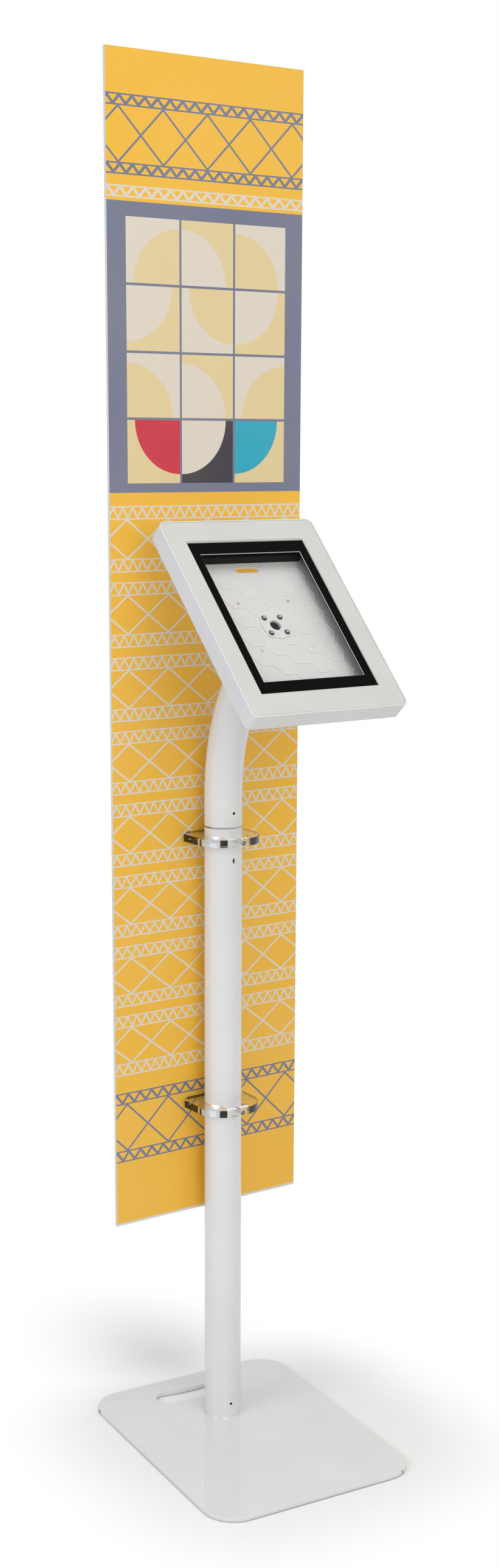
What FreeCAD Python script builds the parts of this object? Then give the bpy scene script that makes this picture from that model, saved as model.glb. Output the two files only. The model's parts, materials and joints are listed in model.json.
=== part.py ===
import FreeCAD, Part
import Sketcher
import math
import os
import re

# Floor stand for a tablet with a tall printed board behind it.
# Frame: origin on the floor at the pole's axis, +Z up, front towards -Y.
# The head has a frame of its own: u = +X, v up the screen's slope, n out of the screen, n = 0 at its front.

os.makedirs("parts", exist_ok=True)
doc = FreeCAD.newDocument("tablet_banner_stand")

# Driving dimensions in millimetres and degrees
SIZES = {
    # Base plate, seen in its own turned frame
    "foot_height": 1.5,
    "foot_radius": 10,
    "foot_inset": 30,
    "plate_width": 300,
    "plate_front": 268,
    "plate_rear": 122,
    "plate_thick": 5,
    "plate_corner": 44,
    "plate_edge": 0.6,
    "plate_turn": -5,
    "handle_y": 67.7,
    "handle_bend": 305,
    "handle_reach": 49.5,
    "handle_width": 33,
    # Pole tube and what is inside it
    "tube_radius": 25,
    "tube_wall": 2,
    "fit_gap": 0.05,
    "pole_lift": 3,
    "spigot_length": 70,
    "collar_radius": 23.8,
    "spigot_screw_ring": 16.5,
    "spigot_screw_radius": 3,
    "spigot_screw_head": 6,
    "spigot_screw_grip": 22,
    "groove_depth": 2,
    "groove_half": 3,
    "set_screw_radius": 2,
    "foot_hole_z": 27.8,
    "foot_hole_turn": -5.6,
    "seam_z": 836.5,
    "ring_height": 2.5,
    "ring_step": 0.3,
    "sleeve_drop": 60,
    "sleeve_rise": 33,
    "sleeve_wall": 3.5,
    "neck_hole_z": 857.1,
    "oval_z": 794.1,
    "oval_radius": 1.85,
    "oval_height": 7,
    # Bent upper pole and head
    "bend_z": 877.9,
    "bend_radius": 275.6,
    "tilt": 46,
    "neck_straight": 40.8,
    "plug_length": 14,
    "cable_hole_radius": 7.5,
    "mount_square": 23.5,
    "mount_hole_radius": 2.2,
    "case_width": 231,
    "case_height": 303,
    "case_depth": 26,
    "case_wall": 2.2,
    "case_floor": 2,
    "case_corner": 10,
    "case_back_edge": 2.5,
    "case_front_edge": 0.8,
    "boss_radius": 20.5,
    "lobe_radius": 7,
    "boss_height": 1,
    "vesa": 75,
    "vesa_radius": 2.25,
    "slot_length": 34,
    "slot_width": 8.5,
    "slot_v": 89.8,
    "cell_side": 17.5,
    "cell_line": 1,
    "cell_height": 0.5,
    "cell_u": 13.5,
    "cell_v": 61,
    "sound_hole_radius": 0.75,
    "sound_pitch_u": 4.8,
    "sound_pitch_n": 5,
    "sound_u": 41.8,
    "sound_n": -5.5,
    "pillar": 12,
    "cover_thick": 3,
    "cover_gap": 0.3,
    "cover_edge": 0.5,
    "window_width": 175,
    "window_height": 235,
    "window_bevel": 1.6,
    "mask_width": 200,
    "mask_height": 264,
    "mask_thick": 2,
    "mask_open_width": 149.5,
    "mask_open_height": 198.5,
    "mask_edge": 0.4,
    "tablet_thick": 7.4,
    "foam_width": 170,
    "foam_clear": 0.75,
    "foam_end_gap": 2.3,
    "nut_radius": 3.6,
    "nut_depth": 2.2,
    "small_screw_radius": 2,
    "small_head_radius": 3.55,
    "small_head_height": 2.1,
    "mount_screw_length": 12,
    # Printed board and its two clamps on the pole
    "board_width": 290,
    "board_height": 1485,
    "board_z": 299.5,
    "board_y": 37,
    "board_thick": 5,
    "print_thick": 0.25,
    "print_border": 3.5,
    "clamp_half": 44,
    "clamp_front": 44,
    "clamp_rear": 35,
    "clamp_thick": 10,
    "clamp_round": 36,
    "clamp_edge": 0.3,
    "clamp_cut": 8,
    "clamp_fit": 0.08,
    "clamp_window": 34,
    "clamp_nose": 9,
    "upper_clamp_z": 826.5,
    "lower_clamp_z": 461.5,
    "clamp_screw_head": 3.5,
    "clamp_screw_head_height": 4,
    "tape_width": 66,
}

sheet = doc.addObject("Spreadsheet::Sheet", "Sizes")
for row, (alias, number) in enumerate(SIZES.items(), start=1):
    sheet.set("A%d" % row, alias)
    sheet.set("B%d" % row, str(number))
    sheet.setAlias("B%d" % row, alias)
doc.recompute()

WORD = re.compile(r"[a-z][a-z_]+")
ORIGIN_POINT = (-1, 1)
FINISHED = []


def size(alias):
    return float(sheet.get(alias))


def cells(text):
    """Write each alias in an expression as a cell of the sheet."""
    return WORD.sub(lambda word: "Sizes." + word.group() if word.group() in SIZES else word.group(), text)


def bind(thing, **expressions):
    for prop, text in expressions.items():
        thing.setExpression(prop, cells(text))


# Derived places, written once as expressions
PLATE_TOP = "(foot_height + plate_thick)"
POLE_FOOT = "(foot_height + plate_thick + pole_lift)"
UPPER_START = "(seam_z + ring_height)"
TUBE_BORE = "(tube_radius - tube_wall)"
SLEEVE_OUT = "(tube_radius - tube_wall - fit_gap)"
SLEEVE_IN = "(tube_radius - tube_wall - fit_gap - sleeve_wall)"
NECK_RUN = "(neck_straight + case_depth)"
HEAD_Y = "(-bend_radius * (1 - cos(tilt)) - %s * sin(tilt))" % NECK_RUN
HEAD_Z = "(bend_z + bend_radius * sin(tilt) + %s * cos(tilt))" % NECK_RUN
FLOOR_N = "(case_floor - case_depth)"
PILLAR_U = "(case_width / 2 - case_wall - pillar / 2)"
PILLAR_V = "(case_height / 2 - case_wall - pillar / 2)"
FOAM_LOW = "(mask_open_height / 2 + foam_clear)"
FOAM_END = "(case_height / 2 - case_wall - foam_end_gap)"
TABLET_BACK = "(-cover_thick - mask_thick - tablet_thick)"

FRAMES = {
    "floor": "",
    "plate": "placement(vector(0; 0; 0); rotation(vector(0; 0; 1); plate_turn)) * ",
    "head": "placement(vector(0; %s; %s); rotation(vector(1; 0; 0); tilt)) * " % (HEAD_Y, HEAD_Z),
}
TURNS = {
    "up": "rotation(vector(1; 0; 0); 0)",
    "down": "rotation(vector(1; 0; 0); 180)",
    "front": "rotation(vector(1; 0; 0); 90)",
}


def place(thing, at=("0", "0", "0"), facing="up", frame="floor", spin=None):
    """Put a piece at a point of a frame, with its own +Z facing a named way."""
    turn = TURNS[facing]
    if spin:
        turn = "rotation(vector(0; 0; 1); %s) * %s" % (spin, turn)
    text = "%splacement(vector(%s; %s; %s); %s)" % ((FRAMES[frame],) + tuple(at) + (turn,))
    thing.setExpression("Placement", cells(text))


def finish(thing, label, **where):
    """Name a finished sub-part and put it in its place."""
    thing.Label = label
    if where:
        place(thing, **where)
    FINISHED.append(thing)
    return thing


# Part primitives and booleans
def cylinder(name, radius, height, at=("0", "0", "0"), facing="up", spin=None):
    shape = doc.addObject("Part::Cylinder", name)
    bind(shape, Radius=radius, Height=height)
    place(shape, at, facing, spin=spin)
    return shape


def box(name, across, along, tall, at):
    shape = doc.addObject("Part::Box", name)
    bind(shape, Length=across, Width=along, Height=tall)
    place(shape, at)
    return shape


def cut(name, base, tool):
    result = doc.addObject("Part::Cut", name)
    result.Base = base
    result.Tool = tool
    return result


def fuse(name, shapes):
    result = doc.addObject("Part::MultiFuse", name)
    result.Shapes = shapes
    return result


# Sketches and features of a body
def new_body(name):
    return doc.addObject("PartDesign::Body", name)


def new_sketch(body, plane, lift=None):
    sketch = body.newObject("Sketcher::SketchObject", body.Name + "_sketch")
    face = next(f for f in body.Origin.OriginFeatures if f.Role == plane + "_Plane")
    sketch.AttachmentSupport = [(face, "")]
    sketch.MapMode = "FlatFace"
    if lift:
        sketch.setExpression(".AttachmentOffset.Base.z", cells(lift))
    return sketch


def dimension(sketch, kind, items, start, text):
    index = sketch.addConstraint(Sketcher.Constraint(kind, *items, start))
    sketch.setExpression("Constraints[%d]" % index, cells(text))


def pin(sketch, curve, point, x, y, start=(5.0, 5.0)):
    """Hold one point of a sketch at a place given by two expressions."""
    # In a sketch -1 is the horizontal axis and -2 the vertical one
    for kind, axis, text, value in (("DistanceX", -2, x, start[0]), ("DistanceY", -1, y, start[1])):
        if text == "0":
            sketch.addConstraint(Sketcher.Constraint("PointOnObject", curve, point, axis))
        else:
            dimension(sketch, kind, ORIGIN_POINT + (curve, point), value, text)


def add_polygon(sketch, corners):
    count = len(corners)
    first = sketch.GeometryCount
    turns = [2 * math.pi * i / count for i in range(count)]
    ring = [FreeCAD.Vector(20 + 10 * math.cos(a), 20 + 10 * math.sin(a), 0) for a in turns]
    sides = [Part.LineSegment(ring[i], ring[(i + 1) % count]) for i in range(count)]
    sketch.addGeometry(sides, False)
    for i in range(count):
        after = first + (i + 1) % count
        sketch.addConstraint(Sketcher.Constraint("Coincident", first + i, 2, after, 1))
    for i, (x, y) in enumerate(corners):
        pin(sketch, first + i, 1, x, y)


def add_rectangle(sketch, half_x, low_y, high_y):
    add_polygon(sketch, [("-" + half_x, low_y), (half_x, low_y), (half_x, high_y), ("-" + half_x, high_y)])


def add_circle(sketch, x, y, radius):
    curve = sketch.addGeometry(Part.Circle(FreeCAD.Vector(3, 3, 0), FreeCAD.Vector(0, 0, 1), 1), False)
    pin(sketch, curve, 3, x, y)
    dimension(sketch, "Radius", (curve,), 1.0, radius)


def pad(body, sketch, length, downward=False):
    feature = body.newObject("PartDesign::Pad", body.Name + "_pad")
    feature.Profile = sketch
    feature.Reversed = downward
    bind(feature, Length=length)
    doc.recompute()
    return feature


def pocket(body, sketch, length, away=False):
    """Cut a sketch into a body and make sure that it took material away."""
    before = body.Shape.Volume
    feature = body.newObject("PartDesign::Pocket", body.Name + "_pocket")
    feature.Profile = sketch
    feature.Reversed = away
    bind(feature, Length=length)
    doc.recompute()
    if body.Shape.Volume > before - 0.01:
        raise RuntimeError(feature.Name + " cuts nothing")
    return feature


def revolve(body, corners):
    """Turn an outline of (radius, height) corners about the body's own Z axis."""
    sketch = new_sketch(body, "XZ")
    add_polygon(sketch, corners)
    feature = body.newObject("PartDesign::Revolution", body.Name + "_turned")
    feature.Profile = sketch
    feature.ReferenceAxis = (sketch, ["V_Axis"])
    feature.Angle = 360
    doc.recompute()
    return feature


def edges_of(body, wanted):
    return ["Edge%d" % i for i, edge in enumerate(body.Shape.Edges, start=1) if wanted(edge)]


def dress(body, kind, wanted, **sizes):
    """Round or bevel the wanted edges of the body's newest feature."""
    base = (body.Tip, edges_of(body, wanted))
    feature = body.newObject("PartDesign::" + kind, body.Name + "_" + kind.lower())
    feature.Base = base
    bind(feature, **sizes)
    doc.recompute()
    return feature


def fillet(body, radius, wanted):
    return dress(body, "Fillet", wanted, Radius=radius)


def chamfer(body, length, wanted):
    return dress(body, "Chamfer", wanted, Size=length)


# Tests that pick edges by where they lie
def upright(edge):
    return edge.BoundBox.ZLength > 0.1 and edge.BoundBox.XLength + edge.BoundBox.YLength < 1e-6


def upright_at(test):
    return lambda edge: upright(edge) and test(edge.BoundBox.Center)


def flat_at(height):
    return lambda edge: abs(edge.BoundBox.ZMin - height) < 1e-6 and abs(edge.BoundBox.ZMax - height) < 1e-6


def hexagon(across_flats):
    corners = []
    for turn in range(0, 360, 60):
        corners.append(("%s / cos(30) / 2 * cos(%d + 15)" % (across_flats, turn),
                        "%s / cos(30) / 2 * sin(%d + 15)" % (across_flats, turn)))
    return corners


def add_socket(body, across_flats, top, depth):
    """Hex socket sunk from a screw's top."""
    sketch = new_sketch(body, "XY", top)
    add_polygon(sketch, hexagon(across_flats))
    pocket(body, sketch, depth)


# Base plate with its carrying slot
def make_handle_slot(sketch):
    bend, width = size("handle_bend"), size("handle_width")
    reach, middle = size("handle_reach"), size("handle_y") + size("handle_bend")
    sweep = math.asin(reach / bend)
    drop = middle - bend * math.cos(sweep)
    up = FreeCAD.Vector(0, 0, 1)
    front, rear = 1.5 * math.pi, 0.5 * math.pi
    centre = FreeCAD.Vector(0, middle, 0)
    left, right = FreeCAD.Vector(-reach, drop, 0), FreeCAD.Vector(reach, drop, 0)
    sketch.addGeometry([
        Part.ArcOfCircle(Part.Circle(centre, up, bend + width / 2), front - sweep, front + sweep),
        Part.ArcOfCircle(Part.Circle(centre, up, bend - width / 2), front - sweep, front + sweep),
        Part.ArcOfCircle(Part.Circle(left, up, width / 2), rear - sweep, front - sweep),
        Part.ArcOfCircle(Part.Circle(right, up, width / 2), front + sweep, rear + sweep + 2 * math.pi),
    ], False)
    for joint in ((0, 2, 3, 1), (3, 2, 1, 2), (1, 1, 2, 1), (2, 2, 0, 1)):
        sketch.addConstraint(Sketcher.Constraint("Tangent", *joint))
    sketch.addConstraint(Sketcher.Constraint("Coincident", 1, 3, 0, 3))
    sketch.addConstraint(Sketcher.Constraint("PointOnObject", 0, 3, -2))
    dimension(sketch, "DistanceY", ORIGIN_POINT + (0, 3), middle, "handle_y + handle_bend")
    dimension(sketch, "Radius", (0,), bend + width / 2, "handle_bend + handle_width / 2")
    dimension(sketch, "Radius", (1,), bend - width / 2, "handle_bend - handle_width / 2")
    dimension(sketch, "DistanceX", ORIGIN_POINT + (2, 3), -reach, "-handle_reach")
    dimension(sketch, "DistanceX", ORIGIN_POINT + (3, 3), reach, "handle_reach")


SPIGOT_SCREW_TURNS = (90, 210, 330)


def around(radius, turn):
    return ("%s * cos(%d)" % (radius, turn), "%s * sin(%d)" % (radius, turn))


def make_base_plate():
    body = new_body("base_plate")
    outline = new_sketch(body, "XY")
    add_rectangle(outline, "plate_width / 2", "-plate_front", "plate_rear")
    pad(body, outline, "plate_thick")
    fillet(body, "plate_corner", upright)
    thick = size("plate_thick")
    chamfer(body, "plate_edge", lambda edge: flat_at(0)(edge) or flat_at(thick)(edge))
    slot = new_sketch(body, "XY", "plate_thick")
    make_handle_slot(slot)
    pocket(body, slot, "plate_thick")
    holes = new_sketch(body, "XY", "plate_thick")
    for turn in SPIGOT_SCREW_TURNS:
        add_circle(holes, *around("spigot_screw_ring", turn), "spigot_screw_radius + 0.2")
    pocket(body, holes, "plate_thick")
    hole = size("spigot_screw_radius") + 0.2
    chamfer(body, "spigot_screw_head - spigot_screw_radius",
            lambda edge: flat_at(0)(edge) and abs(edge.BoundBox.XLength - 2 * hole) < 0.01)
    finish(body, "base_plate", at=("0", "0", "foot_height"), frame="plate")


def make_foot_pads():
    side = "(plate_width / 2 - foot_inset)"
    rear, front = "(plate_rear - foot_inset)", "(foot_inset - plate_front)"
    spots = [("0", "0"), (side, rear), ("-" + side, rear), ("-" + side, front), (side, front)]
    for number, (x, y) in enumerate(spots, start=1):
        name = "foot_pad_%d" % number
        foot = doc.addObject("Part::Cylinder", name)
        bind(foot, Radius="foot_radius", Height="foot_height")
        finish(foot, name, at=(x, y, "0"), frame="plate")


# Spigot that carries the pole, screwed to the plate from below
def make_spigot():
    body = new_body("pole_spigot")
    groove = "foot_hole_z - %s" % PLATE_TOP
    revolve(body, [
        ("0", "0"),
        ("collar_radius", "0"),
        ("collar_radius", "pole_lift"),
        (SLEEVE_OUT, "pole_lift"),
        (SLEEVE_OUT, groove + " - groove_half"),
        (SLEEVE_OUT + " - groove_depth", groove + " - groove_half"),
        (SLEEVE_OUT + " - groove_depth", groove + " + groove_half"),
        (SLEEVE_OUT, groove + " + groove_half"),
        (SLEEVE_OUT, "spigot_length - 1.5"),
        (SLEEVE_OUT + " - 1.5", "spigot_length"),
        ("0", "spigot_length"),
    ])
    taps = new_sketch(body, "XY")
    for turn in SPIGOT_SCREW_TURNS:
        add_circle(taps, *around("spigot_screw_ring", turn), "spigot_screw_radius")
    pocket(body, taps, "spigot_screw_grip", away=True)
    finish(body, "pole_spigot", at=("0", "0", PLATE_TOP), frame="plate")


def make_spigot_screws():
    cone = "(spigot_screw_head - spigot_screw_radius)"
    for number, turn in enumerate(SPIGOT_SCREW_TURNS, start=1):
        body = new_body("spigot_screw_%d" % number)
        length = "(plate_thick + spigot_screw_grip - 2)"
        revolve(body, [
            ("0", "0"),
            ("spigot_screw_radius", "0"),
            ("spigot_screw_radius", length + " - " + cone),
            ("spigot_screw_head", length),
            ("0", length),
        ])
        add_socket(body, "4", length, "2")
        x, y = around("spigot_screw_ring", turn)
        finish(body, body.Name, at=(x, y, "foot_height + " + length), facing="down", frame="plate")


# Pole tubes, their coupling and set screws
def make_lower_pole():
    length = "(seam_z - %s)" % POLE_FOOT
    outer = cylinder("lower_pole_outside", "tube_radius", length, ("0", "0", POLE_FOOT))
    bore = cylinder("lower_pole_bore", TUBE_BORE, length, ("0", "0", POLE_FOOT))
    foot_hole = cylinder("foot_hole", "set_screw_radius", "tube_radius + 1", ("0", "0", "foot_hole_z"),
                         "front", "foot_hole_turn")
    half = "(oval_height / 2 - oval_radius)"
    oval_low = cylinder("oval_low", "oval_radius", "tube_radius + 1", ("0", "0", "oval_z - " + half), "front")
    oval_high = cylinder("oval_high", "oval_radius", "tube_radius + 1", ("0", "0", "oval_z + " + half), "front")
    oval_middle = box("oval_middle", "oval_radius * 2", "tube_radius + 1", half + " * 2",
                      ("-oval_radius", "-tube_radius - 1", "oval_z - " + half))
    holes = fuse("lower_pole_holes", [bore, foot_hole, oval_low, oval_high, oval_middle])
    finish(cut("lower_pole", outer, holes), "lower_pole")


def make_set_screw(label, height, floor, shield, spin=None):
    """Headless hex screw lying along -Y from one radius of the pole to another."""
    body = new_body(label)
    length = "(%s - %s)" % (shield, floor)
    revolve(body, [
        ("0", "0"),
        ("set_screw_radius - 0.6", "0"),
        ("set_screw_radius", "0.6"),
        ("set_screw_radius", length),
        ("0", length),
    ])
    add_socket(body, "2", length, "1.5")
    tip = ("0", "-" + floor, height)
    if spin:
        tip = ("%s * sin(%s)" % (floor, spin), "-%s * cos(%s)" % (floor, spin), height)
    finish(body, label, at=tip, facing="front", spin=spin)


def make_coupling_sleeve():
    body = new_body("coupling_sleeve")
    groove = "(neck_hole_z - seam_z)"
    revolve(body, [
        (SLEEVE_IN, "-sleeve_drop"),
        (SLEEVE_OUT + " - 1", "-sleeve_drop"),
        (SLEEVE_OUT, "1 - sleeve_drop"),
        (SLEEVE_OUT, "0"),
        ("tube_radius - ring_step", "0"),
        ("tube_radius - ring_step", "ring_height"),
        (SLEEVE_OUT, "ring_height"),
        (SLEEVE_OUT, groove + " - groove_half"),
        (SLEEVE_OUT + " - groove_depth", groove + " - groove_half"),
        (SLEEVE_OUT + " - groove_depth", groove + " + groove_half"),
        (SLEEVE_OUT, groove + " + groove_half"),
        (SLEEVE_OUT, "sleeve_rise - 1"),
        (SLEEVE_OUT + " - 1", "sleeve_rise"),
        (SLEEVE_IN, "sleeve_rise"),
    ])
    tap = new_sketch(body, "XZ")
    add_circle(tap, "0", "oval_z - seam_z", "set_screw_radius")
    pocket(body, tap, "tube_radius", away=True)
    finish(body, "coupling_sleeve", at=("0", "0", "seam_z"))


def make_upper_pole():
    """Tube that runs up from the seam, leans forward in one bend and ends square on the head's back."""
    body = new_body("upper_pole")
    path = new_sketch(body, "YZ")
    start, bend, lean = size("seam_z") + size("ring_height"), size("bend_z"), math.radians(size("tilt"))
    radius, run = size("bend_radius"), size("neck_straight")
    low, knee = FreeCAD.Vector(0, start, 0), FreeCAD.Vector(0, bend, 0)
    hub = FreeCAD.Vector(-radius, bend, 0)
    turned = hub + FreeCAD.Vector(radius * math.cos(lean), radius * math.sin(lean), 0)
    end = turned + FreeCAD.Vector(-run * math.sin(lean), run * math.cos(lean), 0)
    path.addGeometry([
        Part.LineSegment(low, knee),
        Part.ArcOfCircle(Part.Circle(hub, FreeCAD.Vector(0, 0, 1), radius), 0, lean),
        Part.LineSegment(turned, end),
    ], False)
    pin(path, 0, 1, "0", UPPER_START, low)
    pin(path, 0, 2, "0", "bend_z", knee)
    path.addConstraint(Sketcher.Constraint("Tangent", 0, 2, 1, 1))
    path.addConstraint(Sketcher.Constraint("Tangent", 1, 2, 2, 1))
    dimension(path, "Radius", (1,), radius, "bend_radius")
    pin(path, 2, 2, "-bend_radius * (1 - cos(tilt)) - neck_straight * sin(tilt)",
        "bend_z + bend_radius * sin(tilt) + neck_straight * cos(tilt)", end)
    profile = new_sketch(body, "XY", UPPER_START)
    add_circle(profile, "0", "0", "tube_radius")
    add_circle(profile, "0", "0", TUBE_BORE)
    pipe = body.newObject("PartDesign::AdditivePipe", "upper_pole_pipe")
    pipe.Profile = profile
    pipe.Spine = path
    doc.recompute()
    hole = new_sketch(body, "XZ")
    add_circle(hole, "0", "neck_hole_z", "set_screw_radius")
    pocket(body, hole, "tube_radius + 1", away=True)
    finish(body, "upper_pole")


def mount_corners():
    half = "mount_square / 2"
    return [(half, half), ("-" + half, half), ("-" + half, "-" + half), (half, "-" + half)]


def make_neck_plug():
    """Plug welded in the tube's end, tapped for the screws that carry the head."""
    body = new_body("neck_plug")
    disc = new_sketch(body, "XY")
    add_circle(disc, "0", "0", SLEEVE_OUT)
    add_circle(disc, "0", "0", "cable_hole_radius")
    for u, v in mount_corners():
        add_circle(disc, u, v, "small_screw_radius")
    pad(body, disc, "plug_length", downward=True)
    finish(body, "neck_plug", at=("0", "0", "-case_depth"), frame="head")


# Head: rear case
def rounded_block(name, half_u, half_v, depth, corner, top="0"):
    """Block with rounded upright edges, from its top face down."""
    body = new_body(name)
    outline = new_sketch(body, "XY", top)
    add_rectangle(outline, half_u, "-" + half_v, half_v)
    pad(body, outline, depth, downward=True)
    fillet(body, corner, upright)
    return body


def make_case_shell():
    outside = rounded_block("case_outside", "case_width / 2", "case_height / 2", "case_depth", "case_corner")
    fillet(outside, "case_back_edge", flat_at(-size("case_depth")))
    fillet(outside, "case_front_edge", flat_at(0))
    hollow = rounded_block("case_hollow", "(case_width / 2 - case_wall)", "(case_height / 2 - case_wall)",
                           "case_depth - case_floor + 1", "case_corner - case_wall", "1")
    return cut("case_shell", outside, hollow)


def make_pillars():
    """Corner pillars that carry the cover, each drilled for a screw from behind."""
    pillars = []
    for number, (side_u, side_v) in enumerate(((1, 1), (-1, 1), (-1, -1), (1, -1)), start=1):
        body = new_body("pillar_%d" % number)
        foot = new_sketch(body, "XY")
        add_rectangle(foot, "pillar / 2", "-pillar / 2", "pillar / 2")
        pad(body, foot, "case_depth - case_floor - cover_thick")
        corner = lambda middle: middle.x * side_u > 0 and middle.y * side_v > 0
        fillet(body, "case_corner - case_wall", upright_at(corner))
        place(body, ("%d * %s" % (side_u, PILLAR_U), "%d * %s" % (side_v, PILLAR_V), FLOOR_N))
        pillars.append(body)
    return pillars


def make_floor_cells():
    """Shallow honeycomb lines on the case's floor."""
    side, line = size("cell_side"), size("cell_line")
    half_u = size("case_width") / 2 - size("case_wall") - size("case_corner")
    half_v = size("case_height") / 2 - size("case_wall") - size("case_corner")
    low = size("case_floor") - size("case_depth")
    tall = size("cell_height")
    field = Part.makeBox(2 * half_u, 2 * half_v, tall, FreeCAD.Vector(-half_u, -half_v, low))
    column_pitch, row_pitch = 1.5 * side, math.sqrt(3) * side
    inner = side - line / math.sqrt(3)
    cell_shapes = []
    for column in range(-math.ceil(half_u / column_pitch) - 1, math.ceil(half_u / column_pitch) + 1):
        u = size("cell_u") + column * column_pitch
        shift = row_pitch / 2 if column % 2 == 0 else 0
        for row in range(-math.ceil(half_v / row_pitch) - 3, math.ceil(half_v / row_pitch) + 1):
            v = size("cell_v") + shift + row * row_pitch
            ring = [FreeCAD.Vector(u + inner * math.cos(math.radians(a)), v + inner * math.sin(math.radians(a)), low)
                    for a in range(0, 420, 60)]
            cell = Part.Face(Part.makePolygon(ring)).extrude(FreeCAD.Vector(0, 0, tall))
            if abs(u) < half_u + side and abs(v) < half_v + side:
                cell_shapes.append(cell)
    feature = doc.addObject("Part::Feature", "floor_cells")
    feature.Shape = field.cut(cell_shapes)
    return feature


def make_boss():
    """Raised disc with a lobe under each screw, where the pole meets the floor."""
    shapes = [cylinder("boss_disc", "boss_radius", "boss_height", ("0", "0", FLOOR_N))]
    for number, (u, v) in enumerate(mount_corners(), start=1):
        shapes.append(cylinder("boss_lobe_%d" % number, "lobe_radius", "boss_height", (u, v, FLOOR_N)))
    return shapes


def make_case_holes():
    below, through = "-case_depth - 1", "case_floor + boss_height + 2"
    tools = [cylinder("cable_hole", "cable_hole_radius", through, ("0", "0", below))]
    for number, (u, v) in enumerate(mount_corners(), start=1):
        tools.append(cylinder("mount_hole_%d" % number, "mount_hole_radius", through, (u, v, below)))
    half = "vesa / 2"
    for number, (u, v) in enumerate(((half, half), ("-" + half, half), ("-" + half, "-" + half), (half, "-" + half))):
        tools.append(cylinder("vesa_hole_%d" % number, "vesa_radius", through, (u, v, below)))
    ends = "(slot_length - slot_width) / 2"
    for side in ("", "-"):
        tools.append(cylinder("slot_end", "slot_width / 2", through, (side + ends, "slot_v", below)))
    tools.append(box("slot_middle", "slot_length - slot_width", "slot_width", through,
                     ("-" + ends, "slot_v - slot_width / 2", below)))
    for side_u in (1, -1):
        for side_v in (1, -1):
            at = ("%d * %s" % (side_u, PILLAR_U), "%d * %s" % (side_v, PILLAR_V), below)
            tools.append(cylinder("pillar_hole", "small_screw_radius + 0.2", "case_depth + 1", at))
            tools.append(cylinder("pillar_seat", "small_head_radius + 0.3", "small_head_height + 1", at))
    return tools + make_sound_holes()


def make_sound_holes():
    """Rows of small holes through the case's lower wall."""
    tools = []
    for row in range(3):
        for column in range(8):
            at = ("sound_u + %d * sound_pitch_u" % column, "case_wall + 1 - case_height / 2",
                  "sound_n - %d * sound_pitch_n" % row)
            tools.append(cylinder("sound_hole", "sound_hole_radius", "case_wall + 2", at, "front"))
    return tools


def make_rear_case():
    solid = fuse("case_solid", [make_case_shell(), make_floor_cells()] + make_pillars() + make_boss())
    holes = fuse("case_holes", make_case_holes())
    finish(cut("rear_case", solid, holes), "rear_case", frame="head")


def make_button_screw(label, length, at, frame, facing="up"):
    """Button-head hex screw: its own Z = 0 is under the head, which points along +Z."""
    body = new_body(label)
    revolve(body, [
        ("0", "-" + length),
        ("small_screw_radius - 0.5", "-" + length),
        ("small_screw_radius", "0.5 - " + length),
        ("small_screw_radius", "0"),
        ("small_head_radius", "0"),
        ("small_head_radius", "small_head_height * 0.4"),
        ("small_head_radius * 0.8", "small_head_height * 0.85"),
        ("small_head_radius * 0.55", "small_head_height"),
        ("0", "small_head_height"),
    ])
    add_socket(body, "2.5", "small_head_height", "1.3")
    finish(body, label, at=at, facing=facing, frame=frame)


def make_mount_screws():
    for number, (u, v) in enumerate(mount_corners(), start=1):
        make_button_screw("mount_screw_%d" % number, "mount_screw_length", (u, v, FLOOR_N + " + boss_height"), "head")


def make_cover_screws():
    length = "(case_depth - small_head_height - 1.4)"
    for number, (side_u, side_v) in enumerate(((1, 1), (-1, 1), (-1, -1), (1, -1)), start=1):
        at = ("%d * %s" % (side_u, PILLAR_U), "%d * %s" % (side_v, PILLAR_V), "small_head_height - case_depth")
        make_button_screw("cover_screw_%d" % number, length, at, "head", "down")


def make_foam_blocks():
    """Strips that press the tablet against the mask, above and below its opening."""
    for label, low_v in (("foam_top", FOAM_LOW), ("foam_bottom", "-" + FOAM_END)):
        block = doc.addObject("Part::Box", label)
        bind(block, Length="foam_width", Width="%s - %s" % (FOAM_END, FOAM_LOW),
             Height="%s - %s - cell_height" % (TABLET_BACK, FLOOR_N))
        finish(block, label, at=("-foam_width / 2", low_v, FLOOR_N + " + cell_height"), frame="head")


# Head: front cover and what is fixed to it
def make_front_cover():
    edge = "(case_wall + cover_gap)"
    body = rounded_block("front_cover", "(case_width / 2 - %s)" % edge, "(case_height / 2 - %s)" % edge,
                         "cover_thick", "case_corner - case_wall - cover_gap")
    window = new_sketch(body, "XY")
    add_rectangle(window, "window_width / 2", "-window_height / 2", "window_height / 2")
    pocket(body, window, "cover_thick")
    half_u, half_v = size("window_width") / 2 + 0.1, size("window_height") / 2 + 0.1

    def at_window(edge):
        middle = edge.BoundBox.Center
        return abs(middle.x) < half_u and abs(middle.y) < half_v

    fillet(body, "cover_edge", lambda edge: flat_at(0)(edge) and not at_window(edge))
    chamfer(body, "window_bevel", lambda edge: flat_at(0)(edge) and at_window(edge))
    seats = new_sketch(body, "XY", "-cover_thick")
    for side_u in (1, -1):
        for side_v in (1, -1):
            add_circle(seats, "%d * %s" % (side_u, PILLAR_U), "%d * %s" % (side_v, PILLAR_V), "nut_radius")
    pocket(body, seats, "nut_depth", away=True)
    finish(body, "front_cover", frame="head")


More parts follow.
